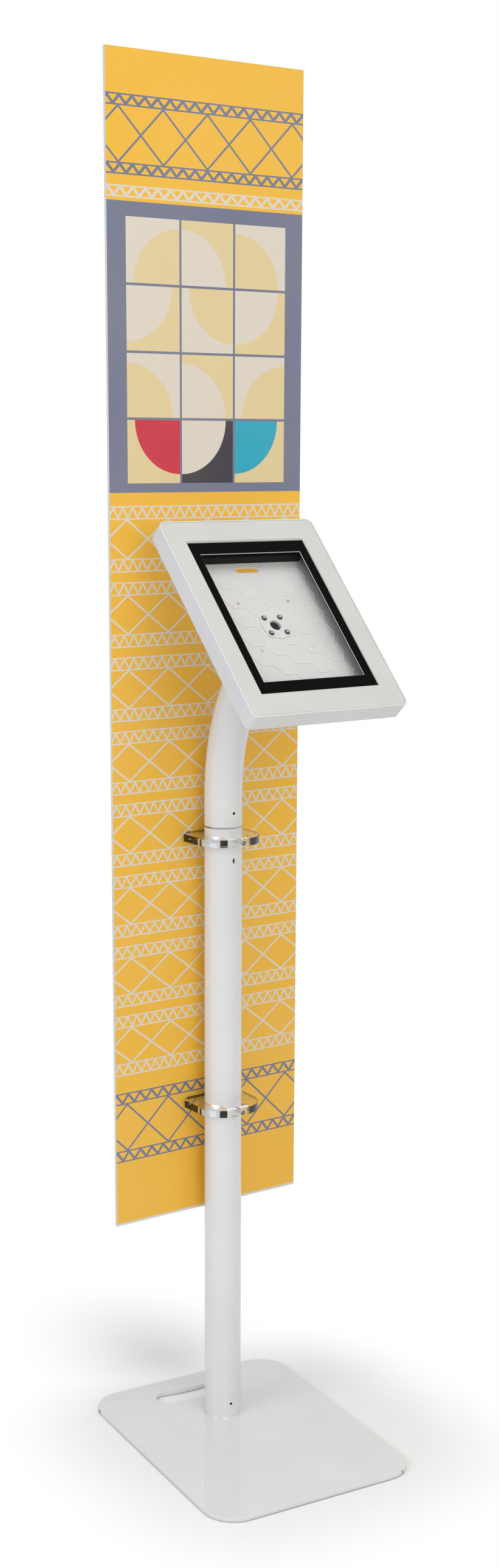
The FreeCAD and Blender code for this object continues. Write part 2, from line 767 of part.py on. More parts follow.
def make_cover_nuts():
    for number, (side_u, side_v) in enumerate(((1, 1), (-1, 1), (-1, -1), (1, -1)), start=1):
        label = "cover_nut_%d" % number
        body = new_body(label)
        ring = new_sketch(body, "XY")
        add_circle(ring, "0", "0", "nut_radius")
        add_circle(ring, "0", "0", "small_screw_radius + fit_gap")
        pad(body, ring, "nut_depth")
        at = ("%d * %s" % (side_u, PILLAR_U), "%d * %s" % (side_v, PILLAR_V), "-cover_thick")
        finish(body, label, at=at, frame="head")


def make_tablet_mask():
    body = new_body("tablet_mask")
    frame = new_sketch(body, "XY")
    add_rectangle(frame, "mask_width / 2", "-mask_height / 2", "mask_height / 2")
    add_rectangle(frame, "mask_open_width / 2", "-mask_open_height / 2", "mask_open_height / 2")
    pad(body, frame, "mask_thick", downward=True)
    half_u, half_v = size("mask_open_width") / 2, size("mask_open_height") / 2
    chamfer(body, "mask_edge", lambda edge: flat_at(0)(edge) and abs(edge.BoundBox.Center.x) < half_u + 0.1
            and abs(edge.BoundBox.Center.y) < half_v + 0.1)
    finish(body, "tablet_mask", at=("0", "0", "-cover_thick"), frame="head")


# Board and its clamps
def make_clamp(label, top):
    """Clear plate round the pole, with a gap in front of the pole for the clamp screw."""
    body = new_body(label)
    outline = new_sketch(body, "XY")
    half, cut_in = "clamp_half", "(clamp_half - clamp_cut)"
    add_polygon(outline, [
        ("-" + half, "-clamp_front"),
        (half, "-clamp_front"),
        (half, "clamp_rear - clamp_cut"),
        (cut_in, "clamp_rear"),
        ("-" + cut_in, "clamp_rear"),
        ("-" + half, "clamp_rear - clamp_cut"),
    ])
    pad(body, outline, "clamp_thick", downward=True)
    fillet(body, "clamp_round", upright_at(lambda middle: middle.y < 0))
    bottom = -size("clamp_thick")
    chamfer(body, "clamp_edge", lambda edge: flat_at(0)(edge) or flat_at(bottom)(edge))
    opening = new_sketch(body, "XY")
    add_rectangle(opening, "clamp_window / 2", "clamp_nose - clamp_front", "0")
    pocket(body, opening, "clamp_thick")
    hole = new_sketch(body, "XY")
    add_circle(hole, "0", "0", "tube_radius + clamp_fit")
    pocket(body, hole, "clamp_thick")
    tap = new_sketch(body, "XZ", "clamp_front - clamp_nose - 1")
    add_circle(tap, "0", "-clamp_thick / 2", "small_screw_radius")
    pocket(body, tap, "clamp_nose + 2", away=True)
    finish(body, label, at=("0", "0", top))


def make_clamp_screw(label, top):
    body = new_body(label)
    length = "(clamp_front - tube_radius - fit_gap)"
    revolve(body, [
        ("0", "-" + length),
        ("small_screw_radius - 0.5", "-" + length),
        ("small_screw_radius", "0.5 - " + length),
        ("small_screw_radius", "0"),
        ("clamp_screw_head", "0"),
        ("clamp_screw_head", "clamp_screw_head_height - 0.5"),
        ("clamp_screw_head - 0.5", "clamp_screw_head_height"),
        ("0", "clamp_screw_head_height"),
    ])
    add_socket(body, "3", "clamp_screw_head_height", "2.2")
    finish(body, label, at=("0", "-clamp_front", top + " - clamp_thick / 2"), facing="front")


def make_tape(label, top):
    strip = doc.addObject("Part::Box", label)
    bind(strip, Length="tape_width", Width="board_y - clamp_rear", Height="clamp_thick")
    finish(strip, label, at=("-tape_width / 2", "clamp_rear", top + " - clamp_thick"))


def make_board():
    panel = doc.addObject("Part::Box", "banner_panel")
    bind(panel, Length="board_width", Width="board_thick - print_thick", Height="board_height")
    finish(panel, "banner_panel", at=("-board_width / 2", "board_y + print_thick", "board_z"))
    film = doc.addObject("Part::Box", "banner_print")
    bind(film, Length="board_width", Width="print_thick", Height="board_height - print_border")
    finish(film, "banner_print", at=("-board_width / 2", "board_y", "board_z + print_border"))


def make_base():
    make_base_plate()
    make_foot_pads()
    make_spigot()
    make_spigot_screws()


def make_poles():
    make_lower_pole()
    groove_floor = "(%s - groove_depth + fit_gap)" % SLEEVE_OUT
    make_set_screw("foot_set_screw", "foot_hole_z", groove_floor, "(tube_radius - 0.6)", "foot_hole_turn")
    make_coupling_sleeve()
    make_set_screw("coupling_screw", "oval_z", SLEEVE_IN, "(tube_radius - tube_wall - 0.6)")
    make_upper_pole()
    make_set_screw("neck_set_screw", "neck_hole_z", groove_floor, "(tube_radius - 0.6)")
    make_neck_plug()


def make_head():
    make_rear_case()
    make_mount_screws()
    make_cover_screws()
    make_foam_blocks()
    make_front_cover()
    make_cover_nuts()
    make_tablet_mask()


def make_banner():
    for place_name, top in (("upper", "upper_clamp_z"), ("lower", "lower_clamp_z")):
        make_clamp(place_name + "_clamp", top)
        make_clamp_screw(place_name + "_clamp_screw", top)
        make_tape(place_name + "_tape", top)
    make_board()


def check_document():
    """Stop if any object of the document failed or a sub-part's shape isn't sound."""
    doc.recompute()
    for thing in doc.Objects:
        if "Invalid" in thing.State or "Error" in thing.State:
            raise RuntimeError(thing.Label + " failed to compute")
    for thing in FINISHED:
        if thing.Shape.isNull() or not thing.Shape.isValid() or not thing.Shape.Solids:
            raise RuntimeError(thing.Label + " has no sound shape")


def export_parts():
    for thing in FINISHED:
        thing.Shape.exportStep(os.path.join("parts", thing.Label + ".step"))
        print("%-18s %8.0f mm3" % (thing.Label, thing.Shape.Volume))


make_base()
make_poles()
make_head()
make_banner()
check_document()
export_parts()
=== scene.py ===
import bpy
import json
import math
from mathutils import Matrix, Vector


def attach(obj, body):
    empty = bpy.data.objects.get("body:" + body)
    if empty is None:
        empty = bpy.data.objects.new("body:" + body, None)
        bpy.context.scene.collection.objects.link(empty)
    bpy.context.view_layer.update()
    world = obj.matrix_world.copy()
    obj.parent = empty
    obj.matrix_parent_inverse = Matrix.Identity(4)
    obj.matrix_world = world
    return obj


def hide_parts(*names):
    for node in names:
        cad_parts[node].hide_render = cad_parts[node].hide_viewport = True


# Floor stand for a tablet with a printed board behind it. Metres, origin on the floor at the pole's axis,
# +Z up, front towards -Y.

MM = 0.001

# Camera, its angles in radians
CAMERA_PLACE = (-1.4418, -2.1642, 1.3239)
YAW, PITCH, ROLL = 0.601, 0.2193, 0.0041
LENS, LENS_SHIFT = 46.42, 0.07085

# Base plate
PLATE_TOP_Z = 6.5 * MM
LEFT_CHIP, RIGHT_CHIP = (-142.5 * MM, 98.5 * MM), (102 * MM, -267.5 * MM)
SCRATCH_START, SCRATCH_TURN = (-120.7 * MM, -134.9 * MM, 0), math.radians(-125.1)
SCRATCH_LENGTH, SCRATCH_HALF_WIDTH = 56 * MM, 0.3 * MM

# Head, in its own frame: u across, v up its tilted face and height out of that face
TILT = math.radians(46)
HEAD_ORIGIN = Vector((0, -132.204, 1122.553)) * MM
CASE_FLOOR_HALF_U, CASE_FLOOR_HALF_V = 112 * MM, 148 * MM
HONEYCOMB_HEIGHT = -23.5 * MM
LOWER_WALL_V = (-151.3 * MM, -149 * MM)
SOUND_PATCH_U, SOUND_PATCH_HEIGHT = (39 * MM, 78 * MM), (-18 * MM, -3 * MM)
SOUND_HOLE_U, SOUND_PITCH_U = 41.8 * MM, 4.8 * MM
SOUND_HOLE_HEIGHT, SOUND_PITCH_HEIGHT = -5.5 * MM, 5 * MM
SOUND_HOLE_RADIUS = 0.78 * MM
MASK_RIM_HALF_U, MASK_RIM_HALF_V = 75.5 * MM, 100 * MM
MASK_MIDDLE_HEIGHT = -4 * MM
MOUNT_SCREW_OFF = 11.75 * MM
FOAM_EDGE = 1.4 * MM

# Clamps and board
CLAMP_SCREW_Z, CLAMP_PITCH = 456.5 * MM, 365 * MM
CLAMP_SCREW_FACE_Y = -47.5 * MM
CLAMP_REAR_Y, CLAMP_CORNER_CUT, CLAMP_REAR_HALF = 35 * MM, 8 * MM, 36 * MM
BOARD_CORE_Y = (37.8 * MM, 41.4 * MM)
PRINT_TOP = 1784.5 * MM

# Studio
FLOOR_RADIUS = 9.0
SOFT_LIGHT = 0.55
LAMP_AIM = Vector((0, 0, 0.8))

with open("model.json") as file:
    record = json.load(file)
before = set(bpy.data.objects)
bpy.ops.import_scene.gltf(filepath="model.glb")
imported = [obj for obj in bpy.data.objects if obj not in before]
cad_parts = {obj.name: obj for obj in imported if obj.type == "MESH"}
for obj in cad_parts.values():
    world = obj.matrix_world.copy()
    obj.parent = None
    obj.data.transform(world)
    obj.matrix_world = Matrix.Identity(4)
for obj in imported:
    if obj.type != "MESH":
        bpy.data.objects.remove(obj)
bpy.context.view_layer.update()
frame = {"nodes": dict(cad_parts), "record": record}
nodes = frame["nodes"]
scene = bpy.context.scene


def make_camera():
    """Camera at the photograph's place, a little left of the front and just above the tablet."""
    data = bpy.data.cameras.new("camera")
    camera = bpy.data.objects.new("camera", data)
    scene.collection.objects.link(camera)
    turn = Matrix.Rotation(-YAW, 4, "Z") @ Matrix.Rotation(math.pi / 2 - PITCH, 4, "X")
    camera.matrix_world = Matrix.Translation(CAMERA_PLACE) @ turn @ Matrix.Rotation(ROLL, 4, "Z")
    data.lens = LENS
    data.shift_y = LENS_SHIFT
    data.clip_start, data.clip_end = 0.1, 50
    scene.camera = camera


# Node helpers
class Nodes:
    """The node tree of one material or world, with short calls for the nodes that it needs."""

    def __init__(self, name, world=False):
        self.owner = (bpy.data.worlds if world else bpy.data.materials).new(name)
        self.owner.use_nodes = True
        self.tree = self.owner.node_tree
        self.tree.nodes.clear()
        self.output = self.tree.nodes.new("ShaderNodeOutputWorld" if world else "ShaderNodeOutputMaterial")

    def add(self, kind, **settings):
        node = self.tree.nodes.new("ShaderNode" + kind)
        for name, value in settings.items():
            setattr(node, name, value)
        return node

    def feed(self, socket, value):
        if isinstance(value, bpy.types.NodeSocket):
            self.tree.links.new(value, socket)
        else:
            socket.default_value = value

    def math(self, operation, a, b=0.0, c=0.0):
        node = self.add("Math", operation=operation)
        for socket, value in zip(node.inputs, (a, b, c)):
            self.feed(socket, value)
        return node.outputs[0]

    def mix(self, amount, first, second):
        """Two colours mixed by an amount."""
        node = self.add("Mix", data_type="RGBA")
        self.feed(node.inputs[0], amount)
        self.feed(node.inputs[6], first)
        self.feed(node.inputs[7], second)
        return node.outputs[2]

    def blend(self, amount, first, second):
        """Two shaders mixed by an amount."""
        node = self.add("MixShader")
        for socket, value in zip(node.inputs, (amount, first, second)):
            self.feed(socket, value)
        return node.outputs[0]

    # Masks, which are 1 inside a shape and 0 outside it
    def above(self, value, limit):
        return self.math("GREATER_THAN", value, limit)

    def below(self, value, limit):
        return self.math("LESS_THAN", value, limit)

    def between(self, value, low, high):
        return self.all_of(self.above(value, low), self.below(value, high))

    def within(self, value, half):
        """Mask of the values up to a distance from zero."""
        return self.below(self.math("ABSOLUTE", value), half)

    def all_of(self, *masks):
        result = masks[0]
        for mask in masks[1:]:
            result = self.math("MULTIPLY", result, mask)
        return result

    def any_of(self, *masks):
        result = masks[0]
        for mask in masks[1:]:
            result = self.math("MAXIMUM", result, mask)
        return result

    def smooth(self, value, low, high, start=0.0, end=1.0):
        node = self.add("MapRange", interpolation_type="SMOOTHSTEP")
        for socket, number in zip(node.inputs, (value, low, high, start, end)):
            self.feed(socket, number)
        return node.outputs[0]

    def fade(self, value, low, high):
        """1 up to one limit, falling softly to 0 at the other."""
        return self.smooth(value, low, high, 1.0, 0.0)

    def ring(self, reach, inner, outer):
        """Mask of a ring, each of its soft edges given by the two distances between which it runs."""
        return self.all_of(self.smooth(reach, *inner), self.fade(reach, *outer))

    # Coordinates
    def place(self):
        return self.add("TexCoord").outputs["Object"]

    def placed(self, origin, turn):
        """Coordinates of a piece that stands at an origin and is turned."""
        move = self.add("Mapping", vector_type="TEXTURE")
        move.inputs["Location"].default_value = origin
        move.inputs["Rotation"].default_value = turn
        self.feed(move.inputs["Vector"], self.place())
        return move.outputs[0]

    def split(self, vector):
        node = self.add("SeparateXYZ")
        self.feed(node.inputs[0], vector)
        return node.outputs

    def away(self, x, y, centre=(0, 0)):
        """Distance from a centre in a plane."""
        across, along = self.math("SUBTRACT", x, centre[0]), self.math("SUBTRACT", y, centre[1])
        squares = self.math("MULTIPLY_ADD", across, across, self.math("MULTIPLY", along, along))
        return self.math("SQRT", squares)

    def oval(self, x, y, centre, reach, power):
        """Share of the way from a centre to the rim of an oval, its corners fuller with a higher power."""
        total = 0.0
        for value, middle, half in zip((x, y), centre, reach):
            share = self.math("ABSOLUTE", self.math("DIVIDE", self.math("SUBTRACT", value, middle), half))
            total = self.math("ADD", self.math("POWER", share, power), total)
        return self.math("POWER", total, 1 / power)

    def repeat(self, value, pitch, first=0.0):
        """Distance from the nearest of many repeats."""
        turns = self.math("DIVIDE", self.math("SUBTRACT", value, first), pitch)
        off = self.math("SUBTRACT", self.math("FRACT", self.math("ADD", turns, 0.5)), 0.5)
        return self.math("MULTIPLY", self.math("ABSOLUTE", off), pitch)

    # Soft patches over a surface
    def noise(self, vector, scale, detail=3.0, rough=0.5):
        node = self.add("TexNoise")
        self.feed(node.inputs["Vector"], vector)
        node.inputs["Scale"].default_value = scale
        node.inputs["Detail"].default_value = detail
        node.inputs["Roughness"].default_value = rough
        return node.outputs[0]

    def patches(self, at, scale, dark, light):
        """Large patches of two close colours."""
        return self.mix(self.smooth(self.noise(at, scale), 0.35, 0.65), dark, light)

    def wander(self, at, scale, detail, low, high):
        """A number that goes between two values from patch to patch."""
        return self.smooth(self.noise(at, scale, detail), 0.3, 0.7, low, high)

    def bump(self, height, strength, distance):
        node = self.add("Bump")
        node.inputs["Strength"].default_value = strength
        node.inputs["Distance"].default_value = distance
        self.feed(node.inputs["Height"], height)
        return node.outputs[0]

    # Shaders
    def principled(self, **values):
        """Principled shader, its sockets given by name with _ for each space."""
        shader = self.add("BsdfPrincipled")
        for name, value in values.items():
            self.feed(shader.inputs[name.replace("_", " ")], value)
        return shader.outputs[0]

    def plain(self, kind, colour):
        """Diffuse or glowing shader of one colour."""
        shader = self.add(kind)
        shader.inputs["Color"].default_value = colour
        return shader.outputs[0]

    def seen(self):
        """1 for a ray from the camera, a mirror or a clear part, else 0."""
        rays = self.add("LightPath").outputs
        return self.any_of(rays["Is Camera Ray"], rays["Is Transmission Ray"], rays["Is Glossy Ray"])

    def finish(self, shader):
        self.feed(self.output.inputs["Surface"], shader)
        return self.owner

    def surface(self, **values):
        return self.finish(self.principled(**values))


def grey(value):
    return (value, value, value, 1)


def head_place(n):
    """Coordinates u, v and height of the tilted head."""
    return n.placed(HEAD_ORIGIN, (TILT, 0, 0))


# Finishes
def powder_coat():
    """Glossy white powder coat with a faint orange peel, two chipped corners of the plate and a scratch."""
    n = Nodes("white_powder_coat")
    at = n.place()
    x, y, z = n.split(at)
    tone = n.patches(at, 9, (0.775, 0.778, 0.775, 1), (0.800, 0.803, 0.800, 1))
    left = n.fade(n.away(x, y, LEFT_CHIP), 3 * MM, 11 * MM)
    right = n.fade(n.away(x, y, RIGHT_CHIP), 3 * MM, 13 * MM)
    flecks = n.math("MULTIPLY", n.any_of(left, right), n.noise(at, 330, 3.0, 0.6))
    bare = n.all_of(n.above(flecks, 0.42), n.below(z, PLATE_TOP_Z - 0.3 * MM))
    along, across, _ = n.split(n.placed(SCRATCH_START, (0, 0, SCRATCH_TURN)))
    scratch = n.all_of(
        n.between(along, 0.0, SCRATCH_LENGTH),
        n.within(across, SCRATCH_HALF_WIDTH),
        n.between(z, PLATE_TOP_Z - 0.5 * MM, PLATE_TOP_Z + 0.3 * MM),
    )
    colour = n.mix(bare, n.mix(scratch, tone, grey(0.95)), (0.09, 0.085, 0.08, 1))
    rough = n.math("MULTIPLY_ADD", n.any_of(bare, scratch), 0.3, n.wander(at, 26, 4.0, 0.11, 0.16))
    peel = n.bump(n.noise(at, 900, 2.0), 0.05, 0.2 * MM)
    return n.surface(Base_Color=colour, Roughness=rough, Normal=peel, IOR=1.5)


def white_plastic(name, dark, light):
    """Moulded white plastic with a fine grain, with a painted highlight on the honeycomb lines and painted
    light in the sound holes.
    """
    n = Nodes(name)
    at = n.place()
    u, v, height = n.split(head_place(n))
    # Painted highlight: the tops of the raised honeycomb lines are painted paler than the plastic round them.
    line = n.all_of(
        n.within(u, CASE_FLOOR_HALF_U),
        n.within(v, CASE_FLOOR_HALF_V),
        n.between(height, HONEYCOMB_HEIGHT - 0.04 * MM, HONEYCOMB_HEIGHT + 0.04 * MM),
    )
    # Painted light: the walls and rims of the sound holes are painted nearly white, lifting the shade inside
    # them.
    off_u = n.repeat(u, SOUND_PITCH_U, SOUND_HOLE_U)
    off_height = n.repeat(height, SOUND_PITCH_HEIGHT, SOUND_HOLE_HEIGHT)
    painted_hole_light = n.all_of(
        n.below(n.away(off_u, off_height), SOUND_HOLE_RADIUS),
        n.between(u, *SOUND_PATCH_U),
        n.between(height, *SOUND_PATCH_HEIGHT),
        n.between(v, *LOWER_WALL_V),
    )
    tone = n.mix(line, n.patches(at, 14, dark, light), (0.76, 0.76, 0.75, 1))
    tone = n.mix(painted_hole_light, tone, grey(0.95))
    grain = n.bump(n.noise(at, 1600, 2.0), 0.1, 0.2 * MM)
    return n.surface(Base_Color=tone, Roughness=n.wander(at, 40, 4.0, 0.38, 0.46), Normal=grain, IOR=1.46)


def mask_plastic():
    """Black satin sheet with a pale line along the rim of its cut opening."""
    n = Nodes("black_mask_sheet")
    at = head_place(n)
    u, v, height = n.split(at)
    outward = n.add("Mapping", vector_type="TEXTURE")
    outward.inputs["Rotation"].default_value = (TILT, 0, 0)
    n.feed(outward.inputs["Vector"], n.add("NewGeometry").outputs["Normal"])
    rim = n.all_of(
        n.within(u, MASK_RIM_HALF_U),
        n.within(v, MASK_RIM_HALF_V),
        n.within(n.split(outward.outputs[0])[2], 0.9),
        n.above(height, MASK_MIDDLE_HEIGHT),
    )
    dust = n.smooth(n.noise(at, 700, 4.0), 0.45, 0.75, 0.0, 0.008)
    black = n.mix(dust, (0.0045, 0.0042, 0.004, 1), grey(0.2))
    colour = n.mix(rim, black, (0.50, 0.50, 0.49, 1))
    rough = n.wander(at, 60, 3.0, 0.30, 0.36)
    return n.surface(Base_Color=colour, Roughness=rough, Specular_IOR_Level=0.015)


def black_foam():
    """Closed-cell foam."""
    n = Nodes("black_foam")
    at = n.place()
    cells = n.add("TexVoronoi")
    cells.inputs["Scale"].default_value = 1300
    n.feed(cells.inputs["Vector"], at)
    tone = n.mix(n.noise(at, 300, 4.0), (0.008, 0.0076, 0.0072, 1), (0.017, 0.016, 0.015, 1))
    pits = n.bump(cells.outputs["Distance"], 0.5, 0.4 * MM)
    return n.surface(Base_Color=tone, Roughness=0.92, Specular_IOR_Level=0.25, Normal=pits)


def rubber():
    n = Nodes("dark_rubber")
    at = n.place()
    tone = n.mix(n.noise(at, 200, 4.0), grey(0.02), grey(0.04))
    return n.surface(Base_Color=tone, Roughness=0.7, Normal=n.bump(n.noise(at, 1500), 0.3, 0.2 * MM))


def turned_metal(name, dark, light, low_rough, high_rough):
    """Turned metal with fine rings round the upright axis."""
    n = Nodes(name)
    at = n.place()
    stretch = n.add("Mapping")
    stretch.inputs["Scale"].default_value = (40, 40, 2600)
    n.feed(stretch.inputs["Vector"], at)
    rings = n.noise(stretch.outputs[0], 1.0, 3.0)
    rough = n.wander(at, 300, 3.0, low_rough, high_rough)
    return n.surface(Base_Color=n.mix(rings, dark, light), Metallic=1.0, Roughness=rough,
                     Normal=n.bump(rings, 0.08, 0.1 * MM))


def mount_screw_steel():
    """Dark oiled steel with a painted highlight on the bottom of the hex socket, crossed by a ring of painted
    shade.
    """
    n = Nodes("oiled_steel")
    u, v, _ = n.split(head_place(n))
    centre = (MOUNT_SCREW_OFF, MOUNT_SCREW_OFF)
    reach = n.away(n.math("ABSOLUTE", u), n.math("ABSOLUTE", v), centre)
    oiled = n.mix(n.noise(n.place(), 500), (0.060, 0.050, 0.043, 1), (0.10, 0.086, 0.075, 1))
    # Painted shade ring inside a painted highlight: the lit bottom of the hex socket and its shaded wall,
    # painted on each head.
    ring = n.ring(reach, (0.5 * MM, 0.8 * MM), (1.1 * MM, 1.4 * MM))
    painted_socket_highlight = n.fade(reach, 1.4 * MM, 1.9 * MM)
    painted_socket_highlight = n.math("MULTIPLY", painted_socket_highlight, n.math("MULTIPLY_ADD", ring, -0.8, 1.0))
    return n.surface(Base_Color=n.mix(painted_socket_highlight, oiled, (0.90, 0.87, 0.85, 1)), Metallic=1.0,
                     Roughness=n.math("MULTIPLY_ADD", painted_socket_highlight, 0.25, 0.2))


def clamp_screw_steel():
    """Polished steel with a ring of painted shade on the head, for the shaded hex socket."""
    n = Nodes("polished_screw_steel")
    at = n.place()
    x, y, z = n.split(at)
    reach = n.away(x, n.repeat(z, CLAMP_PITCH, CLAMP_SCREW_Z))
    # Painted shade: a dark ring on the head's face where the hex socket lies in shade.
    ring = n.ring(reach, (1.4 * MM, 1.7 * MM), (2.7 * MM, 3.1 * MM))
    ring = n.all_of(ring, n.below(y, CLAMP_SCREW_FACE_Y))
    tone = n.mix(n.noise(at, 500), (0.60, 0.59, 0.58, 1), (0.72, 0.71, 0.70, 1))
    return n.surface(Base_Color=n.mix(ring, tone, (0.05, 0.045, 0.04, 1)), Metallic=1.0,
                     Roughness=n.math("MULTIPLY_ADD", ring, -0.1, 0.4))


def clear_acrylic():
    """Clear polished plastic, dark where it shows the tape: its rear face and the right rear corner cut."""
    n = Nodes("clear_acrylic")
    at = n.place()
    x, y, _ = n.split(at)
    facing = n.math("ABSOLUTE", n.split(n.add("NewGeometry").outputs["Normal"])[1])
    rear = n.all_of(
        n.above(y, CLAMP_REAR_Y - 0.1 * MM),
        n.above(facing, 0.9),
        n.within(x, CLAMP_REAR_HALF),
    )
    slant = math.cos(math.radians(45))
    corner = n.all_of(
        n.between(y, CLAMP_REAR_Y - CLAMP_CORNER_CUT - 0.2 * MM, CLAMP_REAR_Y + 0.2 * MM),
        n.between(facing, slant - 0.05, slant + 0.05),
        n.above(x, 0.0),
    )
    tone = n.mix(n.noise(at, 60), (0.955, 0.975, 0.965, 1), (0.975, 0.985, 0.98, 1))
    scuff = n.smooth(n.noise(at, 120, 4.0), 0.45, 0.8, 0.015, 0.08)
    clear = n.principled(Base_Color=tone, Roughness=scuff, Transmission_Weight=1.0, IOR=1.49)
    dark = n.plain("BsdfDiffuse", (0.030, 0.025, 0.023, 1))
    return n.finish(n.blend(n.any_of(rear, corner), clear, dark))


def dark_tape():
    n = Nodes("dark_tape")
    at = n.place()
    tone = n.mix(n.noise(at, 400, 4.0), (0.028, 0.020, 0.014, 1), (0.045, 0.034, 0.024, 1))
    return n.surface(Base_Color=tone, Roughness=0.6, Normal=n.bump(n.noise(at, 2000), 0.3, 0.1 * MM))


def foam_board():
    """White board with a paper skin on both faces and a foam core between them."""
    n = Nodes("foam_board")
    at = n.place()
    core = n.between(n.split(at)[1], *BOARD_CORE_Y)
    skin = n.mix(n.noise(at, 30, 4.0), (0.72, 0.72, 0.71, 1), (0.76, 0.76, 0.75, 1))
    foam = n.mix(n.noise(at, 900, 3.0), (0.66, 0.66, 0.65, 1), (0.78, 0.78, 0.77, 1))
    grain = n.bump(n.mix(core, n.noise(at, 500, 3.0), n.noise(at, 1400, 2.0)), 0.15, 0.3 * MM)
    return n.surface(Base_Color=n.mix(core, skin, foam), Roughness=0.62, Normal=grain)


class Print:
    """Flat inks laid over each other, in millimetres across from the print's middle and down from its top."""

    AMBER = (0.93, 0.520, 0.050, 1)
    CREAM = (0.77, 0.70, 0.60, 1)
    TAN = (0.80, 0.64, 0.35, 1)
    SLATE = (0.180, 0.196, 0.288, 1)
    CHARCOAL = (0.035, 0.028, 0.045, 1)
    RED = (0.62, 0.018, 0.055, 1)
    TEAL = (0.022, 0.40, 0.55, 1)
    RULE = 2.0

    def __init__(self, n):
        self.n = n
        x, _, z = n.split(n.place())
        self.across = n.math("DIVIDE", x, MM)
        self.down = n.math("DIVIDE", n.math("SUBTRACT", PRINT_TOP, z), MM)
        self.colour = self.AMBER

    def lay(self, mask, ink):
        self.colour = self.n.mix(mask, self.colour, ink)

    def band(self, top, foot):
        return self.n.between(self.down, top, foot)

    def disc(self, x, y, radius):
        return self.n.below(self.n.away(self.across, self.down, (x, y)), radius)

    def rectangle(self, left, right, top, foot):
        return self.n.all_of(self.n.between(self.across, left, right), self.band(top, foot))

    def zigzag(self, top, foot, tooth, ink):
        """Band between two rules with a zigzag of teeth in it."""
        n = self.n
        rules = n.any_of(self.band(top, top + self.RULE), self.band(foot - self.RULE, foot))
        tall = foot - top - 2 * self.RULE
        wave = n.math("MULTIPLY_ADD", n.repeat(self.across, tooth), 2 * tall / tooth, top + self.RULE)
        teeth = n.within(n.math("SUBTRACT", self.down, wave), 1.4 * self.RULE)
        self.lay(n.any_of(rules, n.all_of(teeth, self.band(top, foot))), ink)

    def diamonds(self, top, foot, pitch, line, ink):
        """Row of diamond outlines between two heights."""
        n = self.n
        middle, half = (top + foot) / 2, (foot - top) / 2
        high = n.math("DIVIDE", n.math("ABSOLUTE", n.math("SUBTRACT", self.down, middle)), half)
        wide = n.math("DIVIDE", n.repeat(self.across, pitch), pitch / 2)
        rim = n.math("SUBTRACT", n.math("ADD", high, wide), 1.0)
        self.lay(n.all_of(n.within(rim, 0.75 * line / half), self.band(top, foot)), ink)

    def trim(self, top, fringe, row, tooth, diamond, line, ink):
        """Row of diamonds between two zigzag fringes."""
        self.zigzag(top, top + fringe, tooth, ink)
        self.diamonds(top + fringe, top + fringe + row, diamond, line, ink)
        self.zigzag(top + fringe + row, top + 2 * fringe + row, tooth, ink)

    def tiles(self, top, left, tile, joint, radius):
        """Four rows of three tiles, each with a quarter circle in one of its corners."""
        last_row = ((self.TAN, self.RED), (self.CHARCOAL, self.CREAM), (self.TAN, self.TEAL))
        for row in range(4):
            for column in range(3):
                x0, y0 = left + column * tile + joint, top + row * tile + joint
                x1, y1 = x0 + tile - 2 * joint, y0 + tile - 2 * joint
                ground, ink = (self.TAN, self.CREAM) if (row + column) % 2 else (self.CREAM, self.TAN)
                if row == 3:
                    ground, ink = last_row[column]
                cell = self.rectangle(x0, x1, y0, y1)
                self.lay(cell, ground)
                corner_x = x0 if (2 * row + column) % 3 else x1
                corner_y = y0 if (row + 2 * column) % 2 else y1
                self.lay(self.n.all_of(cell, self.disc(corner_x, corner_y, radius)), ink)


def printed_film():
    """Generic geometric print: rows of fine teeth and diamonds, and a tall panel of quarter circles."""
    n = Nodes("printed_film")
    art = Print(n)
    wide = {"row": 64, "tooth": 18, "diamond": 64, "line": 2.4, "ink": art.SLATE}
    narrow = {"row": 48, "tooth": 14, "diamond": 60, "line": 2.2, "ink": art.CREAM}
    art.trim(52, fringe=14, **wide)
    art.zigzag(156, 170, 18, art.CREAM)
    art.lay(art.band(174, 520), art.SLATE)
    art.tiles(top=190, left=-120, tile=80, joint=1.5, radius=66)
    for number in range(8):
        art.trim(536 + 94 * number, fringe=17, **narrow)
    art.trim(1300, fringe=16, **wide)
    at = n.place()
    worn = n.mix(n.wander(at, 5, 3.0, 0.0, 0.05), art.colour, (0.86, 0.72, 0.48, 1))
    grain = n.bump(n.noise(at, 700, 2.0), 0.05, 0.2 * MM)
    return n.surface(Base_Color=worn, Roughness=n.wander(at, 18, 4.0, 0.36, 0.44), Normal=grain, IOR=1.45)


